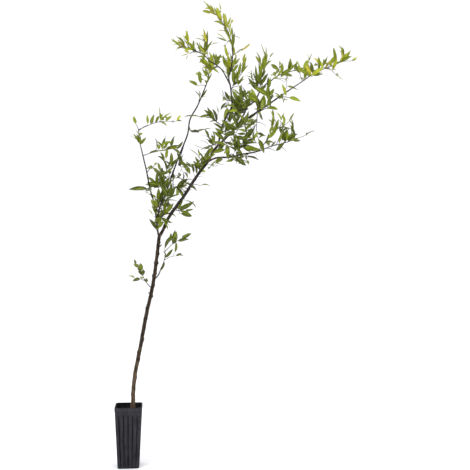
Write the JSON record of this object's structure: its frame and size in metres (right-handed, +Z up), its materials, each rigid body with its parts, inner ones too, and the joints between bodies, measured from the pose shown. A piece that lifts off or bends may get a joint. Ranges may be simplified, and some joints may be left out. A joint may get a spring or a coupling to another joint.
{
  "type": "potted pomegranate tree",
  "caption": "Young pomegranate tree with one slender leaning stem and an open, airy crown of narrow leaves, rooted in a deep square nursery pot that stands on its flat base.",
  "frame": {"origin": "middle of the flat underside of the pot", "axes": "+Z up, the pot's faces look along X and Y, and the stem leans towards +X"},
  "size_m": [0.905, 0.3965, 1.7777],
  "materials": {
    "pot": "black moulded polypropylene, satin and slightly dusty",
    "potting_mix": "damp bark and peat mix, crumbly",
    "bark": "thin brown-grey bark with fine lengthwise fissures, darker and smoother on the boughs",
    "foliage": "narrow glossy leaves, mid green, yellow-green and bronze at the tips"
  },
  "bodies": {
    "root": {"pot": "pot", "potting_mix": "potting_mix", "trunk": "bark", "main_bough": "bark", "left_bough": "bark", "middle_bough": "bark", "leader_bough": "bark", "right_bough": "bark", "low_bough": "bark", "arm_bough": "bark", "rising_bough": "bark", "left_tip": "foliage", "left_high_spray": "foliage", "left_mid_spray": "foliage", "left_low_spray": "foliage", "left_foot_spray": "foliage", "middle_foot_spray": "foliage", "middle_side_spray": "foliage", "middle_heart_spray": "foliage", "middle_left_spray": "foliage", "middle_high_spray": "foliage", "middle_bare_spray": "foliage", "middle_bud_spray": "foliage", "middle_tip": "foliage", "fork_spray": "foliage", "elbow_spray": "foliage", "main_spray": "foliage", "leader_foot_spray": "foliage", "leader_left_spray": "foliage", "leader_right_spray": "foliage", "leader_mid_spray": "foliage", "leader_high_spray": "foliage", "leader_tip": "foliage", "arm_tip": "foliage", "arm_side_spray": "foliage", "right_foot_spray": "foliage", "right_inner_spray": "foliage", "right_mid_spray": "foliage", "right_rise_spray": "foliage", "right_outer_spray": "foliage", "right_tip": "foliage", "rising_left_spray": "foliage", "rising_low_spray": "foliage", "rising_upright_spray": "foliage", "rising_front_spray": "foliage", "rising_tip": "foliage", "hanging_spray": "foliage", "low_foot_spray": "foliage", "low_inner_spray": "foliage", "low_mid_spray": "foliage", "low_rise_spray": "foliage", "low_tip": "foliage", "trunk_left_spray": "foliage", "trunk_right_spray": "foliage", "low_top_spray": "foliage", "right_under_spray": "foliage", "leader_back_spray": "foliage", "middle_low_spray": "foliage"}
  },
  "joints": []
}
